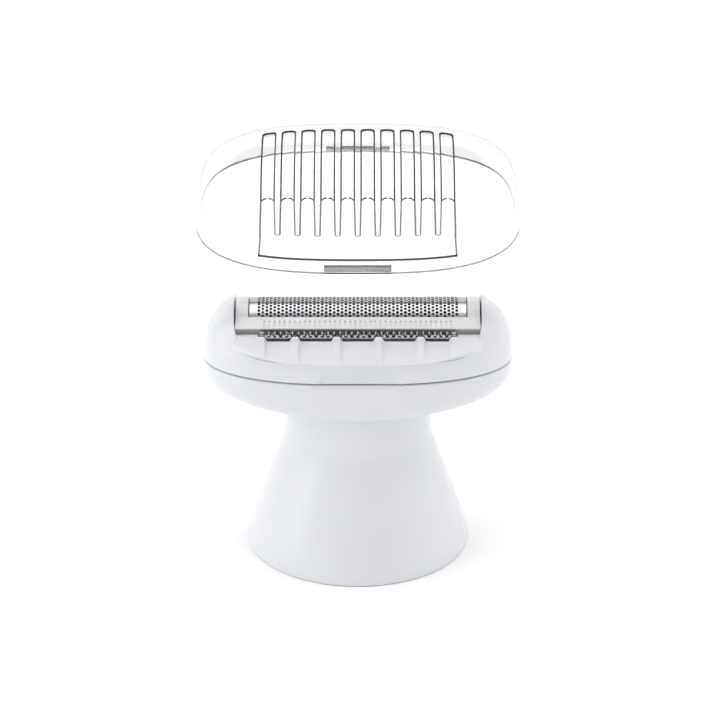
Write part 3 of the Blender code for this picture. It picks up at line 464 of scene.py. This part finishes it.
def ramp_mesh(side, back, ribbed):
    """The sloping land between the rim of the recess and the foil unit."""
    edge_width = HALF_WIDTH - RECESS_END - GAP
    edge_depth = HALF_DEPTH - RECESS_EDGE - GAP
    reach = RECESS_HALF_WIDTH - GAP
    sections = []
    for i in range(RAMP_COLUMNS + 1):
        x = -reach + 2 * reach * i / RAMP_COLUMNS
        front = edge_depth * (1 - (abs(x) / edge_width) ** PLAN_POWER) ** (1 / PLAN_POWER)
        end = back if abs(x) < TRIMMER_HALF + TRIMMER_ROOM else LIP_BACK_Y
        share = rib_share(x) if ribbed else 1.0
        section = [(front, UPPER_Z)]
        for k in range(RAMP_STEPS + 1):
            y = front + (end - front) * k / RAMP_STEPS
            rise = min(1.0, (edge_depth - y) / (edge_depth - back))
            pocket = RAMP_FRONT_RISE + (POCKET_RISE - RAMP_FRONT_RISE) * rise
            rib = RAMP_FRONT_RISE + (RIB_RISE - RAMP_FRONT_RISE) * rise
            section.append((y, PARTING_Z + pocket + (rib - pocket) * share))
        section.append((end, UPPER_Z))
        sections.append([Vector((x, side * y, z)) for y, z in section])
    return loft(sections)


# ---------------------------------------------------------------- foil unit and trimmer

def foil_frame_mesh():
    """The white frame: its arched deck with a bore for the foil, and a notched lip along the front."""
    arch = FOIL_RADIUS + DECK_ABOVE_FOIL
    edge = math.asin((DECK_Z - FOIL_Z) / arch)
    left = [(-FRAME_HALF_DEPTH, FRAME_BOTTOM_Z), (-FRAME_HALF_DEPTH, LIP_Z), (-LIP_HALF_DEPTH, LIP_Z),
            (-LIP_HALF_DEPTH, LIP_TOP_Z)]
    crown = []
    for i in range(49):
        angle = math.pi - edge - (math.pi - 2 * edge) * i / 48
        crown.append((arch * math.cos(angle), FOIL_Z + arch * math.sin(angle)))
    frame = prism_x(left + crown + [(-y, z) for y, z in reversed(left)], -FRAME_HALF_WIDTH,
                    FRAME_HALF_WIDTH)
    bore = FOIL_RADIUS + BORE_ROOM
    turns = [2 * math.pi * i / 144 for i in range(144)]
    hole = [(bore * math.cos(turn), FOIL_Z + bore * math.sin(turn)) for turn in turns]
    frame = cut(frame, prism_x(hole, -SPAN_INSIDE, SPAN_INSIDE))
    inner = FRAME_HALF_DEPTH - FRAME_WALL
    frame = cut(frame, box(-SPAN_INSIDE, SPAN_INSIDE, -inner, inner, FRAME_BOTTOM_Z - MM,
                           LIP_Z - 0.1 * MM))
    pocket_half, pocket_back, pocket_top = FINGER_POCKET
    frame = cut(frame, box(-pocket_half, pocket_half, -inner, -pocket_back, LIP_Z - 0.5 * MM,
                           pocket_top))
    frame = bevelled(frame, 0.12 * MM)
    slope = (DECK_Z - LIP_TOP_Z) / (LIP_HALF_DEPTH - arch * math.cos(edge))
    y0, y1 = -LIP_HALF_DEPTH + LIP_NOTCH_FROM, -LIP_HALF_DEPTH + LIP_NOTCH_TO
    z0, z1 = (LIP_TOP_Z + slope * (y + LIP_HALF_DEPTH) for y in (y0, y1))
    outline = [(y0, z0 - LIP_NOTCH_DEPTH), (y1, z1 - LIP_NOTCH_DEPTH), (y1, z1 + MM), (y0, z0 + MM)]
    centres = spaced(int(2 * TRIMMER_HALF / LIP_NOTCH_PITCH), LIP_NOTCH_PITCH)
    return cut(frame, merged([prism_x(outline, x - LIP_NOTCH_HALF, x + LIP_NOTCH_HALF)
                              for x in centres]))


def foil_mesh():
    """The foil as a curved sheet with staggered round holes over its crown."""
    step_x, step_arc = CELL_WIDTH / 4, CELL_HEIGHT / 4
    field_half = CELL_COLUMNS * CELL_WIDTH / 2
    first_row = -2 * CELL_ROWS
    points, faces, index = [], [], {}

    def vertex(u, v):
        key = (round(u / (0.001 * MM)), round(v / (0.001 * MM)))
        if key not in index:
            index[key] = len(points)
            turn = v / FOIL_RADIUS
            points.append((u, FOIL_RADIUS * math.sin(turn), FOIL_Z + FOIL_RADIUS * math.cos(turn)))
        return index[key]

    def plain(u0, u1, v0, v1):
        faces.append((vertex(u0, v0), vertex(u1, v0), vertex(u1, v1), vertex(u0, v1)))

    def cell(u0, v0):
        """A square of sheet with a round hole, 16 quads from the border to the hole."""
        border = ([(i, 0) for i in range(4)] + [(4, i) for i in range(4)]
                  + [(4 - i, 4) for i in range(4)] + [(0, 4 - i) for i in range(4)])
        outer, inner = [], []
        for i, j in border:
            outer.append(vertex(u0 + i * step_x, v0 + j * step_arc))
            away = math.atan2(j - 2, i - 2)
            inner.append(vertex(u0 + 2 * step_x + HOLE_RADIUS * math.cos(away),
                                v0 + 2 * step_arc + HOLE_RADIUS * math.sin(away)))
        for k in range(16):
            m = (k + 1) % 16
            faces.append((outer[k], outer[m], inner[m], inner[k]))

    for column in range(CELL_COLUMNS):
        u0 = -field_half + column * CELL_WIDTH
        shift = 2 if column % 2 else 0
        for row in range(CELL_ROWS - (1 if shift else 0)):
            cell(u0, (first_row + shift + 4 * row) * step_arc)
        if shift:
            for j in (0, 1, 4 * CELL_ROWS - 2, 4 * CELL_ROWS - 1):
                for i in range(4):
                    plain(u0 + i * step_x, u0 + (i + 1) * step_x, (first_row + j) * step_arc,
                          (first_row + j + 1) * step_arc)
    for side in (-1, 1):
        for j in range(4 * CELL_ROWS):
            plain(side * field_half, side * FOIL_HALF_LENGTH, (first_row + j) * step_arc,
                  (first_row + j + 1) * step_arc)
    limit = FOIL_SWEEP * FOIL_RADIUS
    edge_arc = 2 * CELL_ROWS * step_arc
    stations = [-FOIL_HALF_LENGTH] + [-field_half + i * step_x for i in range(4 * CELL_COLUMNS + 1)]
    stations.append(FOIL_HALF_LENGTH)
    for side in (-1, 1):
        for j in range(4):
            v0, v1 = (side * (edge_arc + (limit - edge_arc) * k / 4) for k in (j, j + 1))
            for u0, u1 in zip(stations, stations[1:]):
                plain(u0, u1, v0, v1)
    sheet = mesh_from(points, faces)
    obj = linked("sheet", sheet)
    solid = obj.modifiers.new("Solidify", "SOLIDIFY")
    solid.thickness = FOIL_THICK
    solid.offset = -1 if sheet.polygons[0].normal.z > 0 else 1
    return with_modifiers(obj)


def trimmer_mesh():
    """A folded steel comb: tapered slots in its top, square holes in its front, a plain strip below."""
    low, high = TRIMMER_Z, TRIMMER_Z + TRIMMER_HEIGHT
    nose, back = NOSE_Y, TRIMMER_BACK_Y
    outline = [(back, low), (nose + 0.25 * MM, low), (nose + 0.07 * MM, low + 0.07 * MM),
               (nose, low + 0.25 * MM), (nose, high - 0.3 * MM), (nose + 0.1 * MM, high - 0.1 * MM),
               (nose + 0.3 * MM, high), (back, high), (back, high - LEAF),
               (nose + LEAF + 0.2 * MM, high - LEAF),
               (nose + LEAF, high - LEAF - 0.2 * MM), (nose + LEAF, low + LEAF + 0.2 * MM),
               (nose + LEAF + 0.2 * MM, low + LEAF), (back, low + LEAF)]
    comb = prism_x(outline, -TRIMMER_HALF, TRIMMER_HALF)
    upper, lower = [], []
    for x in spaced(int(2 * TRIMMER_HALF / TOOTH_PITCH) - 1, TOOTH_PITCH):
        plan = [(x - 0.44 * MM, nose - MM), (x + 0.44 * MM, nose - MM), (x + 0.44 * MM, nose + 0.1 * MM),
                (x + 0.14 * MM, back - 0.2 * MM), (x - 0.14 * MM, back - 0.2 * MM),
                (x - 0.44 * MM, nose + 0.1 * MM)]
        upper.append(loft([[Vector((px, py, z)) for px, py in plan]
                           for z in (high - 0.45 * MM, high + MM)]))
        x += TOOTH_PITCH / 2
        lower.append(box(x - 0.3 * MM, x + 0.3 * MM, nose - MM, nose + 0.5 * MM, low + 0.4 * MM,
                         high - 0.42 * MM))
    return cut(cut(comb, merged(upper)), merged(lower[:-1]))


# ---------------------------------------------------------------- clear comb cap

def cap_size(share, inset):
    return dome_size(CAP_HALF_WIDTH - inset, CAP_HALF_DEPTH - inset, share)


def cap_ring(share, inset):
    """A level ring of the cap's form, drawn in by inset."""
    width, depth = cap_size(share, inset)
    return ring(width, depth, CAP_PLAN_POWER, CAP_Z + (CAP_HEIGHT - inset) * share)


def crown_radius(x, angle, inset):
    """Distance from the rim's middle line out to the cap's form, at a slope angle, found by halving."""
    low, high = 0.0, CAP_HALF_WIDTH
    for _ in range(28):
        radius = (low + high) / 2
        share = radius * math.sin(angle) / (CAP_HEIGHT - inset)
        inside = False
        if share < 1:
            width, depth = cap_size(share, inset)
            inside = ((abs(x) / width) ** CAP_PLAN_POWER
                      + (abs(radius * math.cos(angle)) / depth) ** CAP_PLAN_POWER) < 1
        if inside:
            low = radius
        else:
            high = radius
    return low


def band_cutter(stations, levels, materials, lean=0.0):
    """A cutter that runs over the crown, with sloping sides.

    Stations are (angle, lowest x, highest x); levels are (inset of the crown or None, radius, side
    slope) from the inside out. Its floor keeps the first material and its sides cut the second.
    Lean draws the first end in at the sloped levels.
    """
    sections = []
    for k, (angle, x0, x1) in enumerate(stations):
        right, left = [], []
        for inset, radius, slope in levels:
            turn = angle + (lean / CAP_HEIGHT * max(0.0, 1 - k / ARCH_STATIONS) if slope else 0)
            for x, side in ((x1 - slope, right), (x0 + slope, left)):
                reach = radius if inset is None else crown_radius(x, turn, inset)
                side.append(Vector((x, reach * math.cos(turn), CAP_Z + reach * math.sin(turn))))
        sections.append(right + left[::-1])
    mesh = loft(sections)
    count = len(sections[0])
    # the sides get the second material, a near-black painted shade standing in for the dark lines that
    # refraction draws along the cut walls
    for face in mesh.polygons:
        is_floor = face.index % count == count - 1 and face.index < count * (len(sections) - 1)
        face.material_index = 0 if is_floor else 1
    for material in materials:
        mesh.materials.append(material)
    return mesh


def groove_cutter(centre, materials):
    """A shallow groove with a round rear end, from the rear of the crown to the window."""
    stations = []
    round_angle = GROOVE_ROUND / CAP_HEIGHT
    for i in range(9):
        turn = math.pi / 2 * i / 8
        half = GAP_HALF - GROOVE_ROUND * (1 - math.sin(turn))
        angle = GROOVE_REAR + round_angle * (1 - math.cos(turn))
        stations.append((angle, centre - half, centre + half))
    straight = GROOVE_REAR + round_angle
    for i in range(1, 25):
        angle = straight + (ARCH + CUT_OVERLAP - straight) * i / 24
        stations.append((angle, centre - GAP_HALF, centre + GAP_HALF))
    levels = [(GROOVE_DEPTH, 0, SIDE_SLOPE), (-0.02 * MM, 0, 0), (None, CUT_OUTSIDE, 0)]
    return band_cutter(stations, levels, materials)


def gap_cutter(centre, materials):
    """The opening between two tines, with an arch at its head."""
    stations = []
    arch_angle = ARCH_HEIGHT / CAP_HEIGHT
    for i in range(2, ARCH_STATIONS + 2):
        turn = math.pi / 2 * i / (ARCH_STATIONS + 1)
        half = GAP_HALF * math.sin(turn)
        stations.append((ARCH + arch_angle * (1 - math.cos(turn)), centre - half, centre + half))
    straight = ARCH + arch_angle
    for i in range(1, 13):
        half = GAP_HALF + (GAP_HALF_TIP - GAP_HALF) * i / 12
        angle = straight + (TIP + TIP_OVERLAP - straight) * i / 12
        stations.append((angle, centre - half, centre + half))
    return band_cutter(stations, THROUGH_LEVELS, materials, ARCH_LEAN)


def window_cutter(materials):
    """The opening below the tips of the tines."""
    stations = []
    foot = math.pi - math.asin(WINDOW_FOOT / (CAP_HALF_DEPTH - CAP_WALL / 2))
    for i in range(7):
        angle = TIP + (foot - TIP) * i / 6
        half = WINDOW_HALF_TOP + (WINDOW_HALF_FOOT - WINDOW_HALF_TOP) * i / 6
        stations.append((angle, -half, half))
    return band_cutter(stations, THROUGH_LEVELS, materials)


def cap_mesh(materials):
    """The cap's shell; its cut edges and the foot of its rim have the second material, a painted dark
    shade.
    """
    shares = [math.sin(math.pi / 2 * i / CAP_LEVELS) for i in range(CAP_LEVELS)] + [CAP_TOP_SHARE]
    inner = [cap_ring(share, CAP_WALL) for share in reversed(shares)]
    outer = [cap_ring(share, 0) for share in shares]
    cap = loft(inner + outer)
    # the foot of the rim gets the second material, the same near-black painted shade
    for face in cap.polygons:
        if face.index // HEAD_POINTS == len(inner) - 1:
            face.material_index = 1
    for material in materials:
        cap.materials.append(material)
    centres = spaced(GAP_COUNT, GAP_PITCH)
    for cutter in (groove_cutter, gap_cutter):
        cap = cut(cap, merged([cutter(x, materials) for x in centres], materials))
    return cut(cap, window_cutter(materials))


def tab_mesh(side):
    """The thick catch at the rim that drops into the notch of the head."""
    near = side * (CAP_HALF_DEPTH - CAP_WALL - 0.35 * MM)
    far = side * (CAP_HALF_DEPTH - CAP_WALL - 0.02 * MM)
    tab = box(-TAB_HALF, TAB_HALF, min(near, far), max(near, far), CAP_Z + 0.1 * MM, CAP_Z + 1.5 * MM)
    return bevelled(tab, 0.1 * MM)


# ---------------------------------------------------------------- finishes

def new_material(name, colour, roughness, metallic=0.0):
    material = bpy.data.materials.new(name)
    material.use_nodes = True
    shader = material.node_tree.nodes["Principled BSDF"]
    shader.inputs["Base Color"].default_value = (*colour, 1)
    shader.inputs["Roughness"].default_value = roughness
    shader.inputs["Metallic"].default_value = metallic
    return material, shader


def add_noise(material, stretch, scale):
    nodes, links = material.node_tree.nodes, material.node_tree.links
    place = nodes.new("ShaderNodeTexCoord")
    mapping = nodes.new("ShaderNodeMapping")
    mapping.inputs["Scale"].default_value = stretch
    noise = nodes.new("ShaderNodeTexNoise")
    noise.inputs["Scale"].default_value = scale
    noise.inputs["Detail"].default_value = NOISE_DETAIL
    links.new(place.outputs["Object"], mapping.inputs["Vector"])
    links.new(mapping.outputs["Vector"], noise.inputs["Vector"])
    return noise


def add_bump(material, shader, noise, strength):
    nodes, links = material.node_tree.nodes, material.node_tree.links
    bump = nodes.new("ShaderNodeBump")
    bump.inputs["Strength"].default_value = strength
    bump.inputs["Distance"].default_value = BUMP_DEPTH
    links.new(noise.outputs["Fac"], bump.inputs["Height"])
    links.new(bump.outputs["Normal"], shader.inputs["Normal"])


def ranged(tree, value, low, high, first, last):
    """A value that goes from first to last while the input goes from low to high."""
    span = tree.nodes.new("ShaderNodeMapRange")
    for name, number in (("From Min", low), ("From Max", high), ("To Min", first), ("To Max", last)):
        span.inputs[name].default_value = number
    tree.links.new(value, span.inputs["Value"])
    return span.outputs["Result"]


def vary(material, socket, noise, low, high):
    """Let the noise move a shader value between two limits."""
    tree = material.node_tree
    tree.links.new(ranged(tree, noise.outputs["Fac"], 0, 1, low, high), socket)


def plastic(name, colour, roughness, grain=0.03):
    """Moulded plastic with a very fine spark-eroded grain."""
    material, shader = new_material(name, colour, roughness)
    noise = add_noise(material, (1, 1, 1), PLASTIC_GRAIN)
    add_bump(material, shader, noise, grain)
    vary(material, shader.inputs["Roughness"], noise, roughness - 0.04, roughness + 0.04)
    return material


def metal(name, colour, roughness, stretch, grain=0.08):
    """Drawn or ground metal, with fine lines along one way."""
    material, shader = new_material(name, colour, roughness, 1.0)
    noise = add_noise(material, stretch, METAL_GRAIN)
    add_bump(material, shader, noise, grain)
    vary(material, shader.inputs["Roughness"], noise, roughness - 0.06, roughness + 0.08)
    return material


def clear_plastic(name, tint, roughness=0.02, clearness=1.0):
    """Clear moulded plastic; with a low clearness it is nearly opaque, used for the painted shade on the
    comb cap's cut edges.
    """
    material, shader = new_material(name, tint, roughness)
    shader.inputs["Transmission Weight"].default_value = clearness
    shader.inputs["IOR"].default_value = CLEAR_IOR
    return material


def make_materials():
    return {
        "white_shell": plastic("white_shell", (0.75, 0.765, 0.79), 0.18),
        "white_frame": plastic("white_frame", (0.86, 0.865, 0.88), 0.32),
        "white_ramp": plastic("white_ramp", (0.8, 0.81, 0.83), 0.36),
        "grey_plastic": plastic("grey_plastic", (0.2, 0.2, 0.21), 0.5),
        "natural_plastic": plastic("natural_plastic", (0.78, 0.77, 0.72), 0.42),
        "rubber_seal": plastic("rubber_seal", (0.05, 0.05, 0.055), 0.65, grain=0.1),
        "spring_steel": metal("spring_steel", (0.6, 0.6, 0.62), 0.28, (1, 1, 6)),
        "steel": metal("steel", (0.62, 0.62, 0.64), 0.3, (1, 12, 1)),
        "dark_steel": metal("dark_steel", (0.12, 0.12, 0.13), 0.35, (1, 12, 1)),
        "foil_steel": metal("foil_steel", (0.5, 0.5, 0.51), 0.2, (12, 1, 1), grain=0.03),
        "trimmer_steel": metal("trimmer_steel", (0.5, 0.5, 0.51), 0.25, (12, 1, 1)),
        "bush_brass": metal("bush_brass", (0.72, 0.55, 0.28), 0.28, (1, 1, 8)),
        "clear_plastic": clear_plastic("clear_plastic", (0.93, 0.934, 0.94)),
        # painted shade: near-black, nearly opaque plastic on the cap's cut edges and rim foot, in place
        # of the dark lines that refraction shows there
        "clear_edge_painted_shade": clear_plastic("clear_edge_painted_shade", (0.035, 0.035, 0.04), 0.2, clearness=0.15),
        # painted shade: a grey tint on the clear catches stands in for the dark look that refraction
        # gives them
        "clear_tab_painted_shade": clear_plastic("clear_tab_painted_shade", (0.3, 0.31, 0.33)),
    }


# ---------------------------------------------------------------- scene

def add_piece(name, mesh, material, body, nodes=()):
    obj = linked(name, mesh)
    if not mesh.materials:
        mesh.materials.append(material)
    mesh.polygons.foreach_set("use_smooth", [True] * len(mesh.polygons))
    mesh.set_sharp_from_angle(angle=SHARP_ANGLE)
    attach(obj, body)
    if nodes:
        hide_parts(*nodes)


def dress_frame(frame, materials):
    """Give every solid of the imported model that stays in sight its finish."""
    for part in frame["record"]["subparts"]:
        node = frame["nodes"][part["node"]]
        name = "dark_steel" if part["node"] == "cutter_blades" else part["material_slot"]
        node.data.materials.clear()
        node.data.materials.append(materials[name])


def build_pieces(materials):
    white, ramp = materials["white_shell"], materials["white_ramp"]
    add_piece("lower_shell_skin", lower_shell_mesh(), white, "housing", ["lower_shell"])
    add_piece("upper_shell_skin", upper_shell_mesh(), white, "housing", ["upper_shell"])
    add_piece("front_ramp_skin", ramp_mesh(-1, RAMP_BACK_Y, True), ramp, "housing",
              ["front_guide_ramp"])
    add_piece("rear_ramp_skin", ramp_mesh(1, LIP_BACK_Y, False), ramp, "housing",
              ["rear_ramp"])
    add_piece("foil_frame_skin", foil_frame_mesh(), materials["white_frame"], "foil_unit",
              ["foil_frame"])
    add_piece("shaving_foil_skin", foil_mesh(), materials["foil_steel"], "foil_unit",
              ["shaving_foil"])
    add_piece("trimmer_comb_skin", trimmer_mesh(), materials["trimmer_steel"],
              "foil_unit", ["trimmer_comb"])
    lifted = (Matrix.Translation(LIFT_AXIS) @ Matrix.Rotation(LIFT, 4, "X")
              @ Matrix.Translation(-LIFT_AXIS))
    # the cap's cut edges and rim foot take the near-black painted shade material
    cap = cap_mesh([materials["clear_plastic"], materials["clear_edge_painted_shade"]])
    cap.transform(lifted)
    add_piece("comb_cap_skin", cap, materials["clear_plastic"], "cap", ["comb_cap"])
    for name, side in (("cap_catch_front", -1), ("cap_catch_rear", 1)):
        tab = tab_mesh(side)
        tab.transform(lifted)
        # the catches take the grey painted shade tint
        add_piece(name, tab, materials["clear_tab_painted_shade"], "cap")


def add_floor():
    corners = [(x * FLOOR_HALF, y * FLOOR_HALF, 0) for x, y in ((-1, -1), (1, -1), (1, 1), (-1, 1))]
    floor = linked("floor", mesh_from(corners, [(0, 1, 2, 3)]))
    floor.data.materials.append(new_material("floor", (0.97, 0.97, 0.97), 0.9)[0])


def add_area(name, size, power, place, aim):
    light = bpy.data.lights.new(name, "AREA")
    light.shape = "RECTANGLE"
    light.size, light.size_y = size
    light.energy = power
    obj = linked(name, light)
    obj.location = place
    obj.rotation_euler = (Vector(aim) - Vector(place)).to_track_quat("-Z", "Y").to_euler()


def add_world():
    """A bright studio, dimmer on the viewer's side, with a narrow dark strip that the foil reflects."""
    world = bpy.data.worlds.new("studio")
    bpy.context.scene.world = world
    world.use_nodes = True
    tree = world.node_tree

    def maths(operation, first, second=None):
        node = tree.nodes.new("ShaderNodeMath")
        node.operation = operation
        tree.links.new(first, node.inputs[0])
        if isinstance(second, float):
            node.inputs[1].default_value = second
        elif second is not None:
            tree.links.new(second, node.inputs[1])
        return node.outputs["Value"]

    place = tree.nodes.new("ShaderNodeTexCoord")
    axes = tree.nodes.new("ShaderNodeSeparateXYZ")
    tree.links.new(place.outputs["Generated"], axes.inputs["Vector"])
    front = ranged(tree, axes.outputs["Y"], -0.95, -0.25, FRONT_STRENGTH, SIDE_STRENGTH)
    high = maths("MULTIPLY", axes.outputs["Z"], math.cos(STRIP_ELEVATION))
    deep = maths("MULTIPLY", axes.outputs["Y"], math.sin(STRIP_ELEVATION))
    from_strip = maths("ABSOLUTE", maths("SUBTRACT", high, deep))
    strip = ranged(tree, from_strip, 0.06, 0.1, 0.05, 1)
    background = tree.nodes["Background"]
    tree.links.new(maths("MULTIPLY", front, strip), background.inputs["Strength"])
    background.inputs["Color"].default_value = (1.0, 1.0, 1.0, 1)


def add_camera():
    data = bpy.data.cameras.new("camera")
    data.sensor_width, data.lens = SENSOR_WIDTH, LENS
    camera = linked("camera", data)
    camera.location = CAMERA_PLACE
    camera.rotation_euler = (CAMERA_TILT, 0, 0)
    bpy.context.scene.camera = camera


def main():
    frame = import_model()
    materials = make_materials()
    dress_frame(frame, materials)
    build_pieces(materials)
    add_floor()
    add_world()
    for light in LIGHTS:
        add_area(*light)
    add_camera()
    bpy.context.scene.view_settings.view_transform = "Standard"


main()
